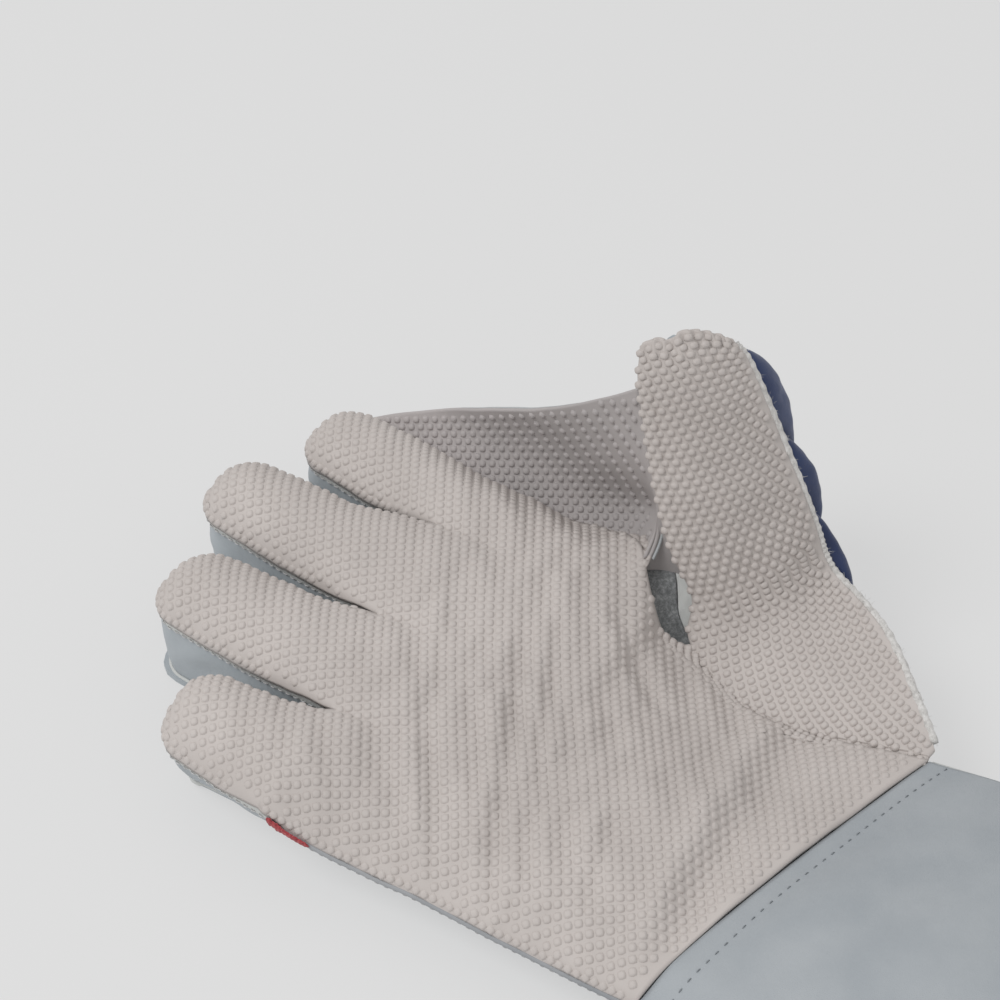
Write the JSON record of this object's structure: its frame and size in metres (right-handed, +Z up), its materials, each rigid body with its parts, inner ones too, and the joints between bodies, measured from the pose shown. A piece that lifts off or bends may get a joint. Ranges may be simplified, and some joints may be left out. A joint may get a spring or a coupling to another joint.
{
  "type": "wicketkeeping glove",
  "caption": "Right-hand wicketkeeping glove lying palm up, with pimpled rubber palm and fingers, standing thumb joined by a web, padded thumb back and a wide leather cuff.",
  "frame": {"origin": "middle of the glove's footprint, on the surface it lies on", "axes": "+Z up out of the palm, +Y from the cuff to the fingertips, +X towards the thumb"},
  "size_m": [0.1644, 0.2968, 0.1028],
  "materials": {
    "palm_rubber": "matte",
    "web_rubber": "matte",
    "shell_leather": "satin",
    "pad_leather": "satin",
    "suede": "matte",
    "red_trim": "matte"
  },
  "bodies": {
    "root": {"palm_rubber": "palm_rubber", "thumb_rubber": "palm_rubber", "web_rubber": "web_rubber", "back_leather": "shell_leather", "side_little": "shell_leather", "side_ring": "shell_leather", "side_middle": "shell_leather", "side_index": "shell_leather", "thumb_leather": "shell_leather", "web_lining": "shell_leather", "crotch_band": "shell_leather", "crotch_patch": "suede", "thumb_pad_tip": "pad_leather", "thumb_pad_middle": "pad_leather", "thumb_pad_base": "pad_leather", "cuff_palm": "shell_leather", "cuff_back": "shell_leather", "cuff_binding": "shell_leather", "trim_bar": "red_trim"}
  },
  "joints": []
}
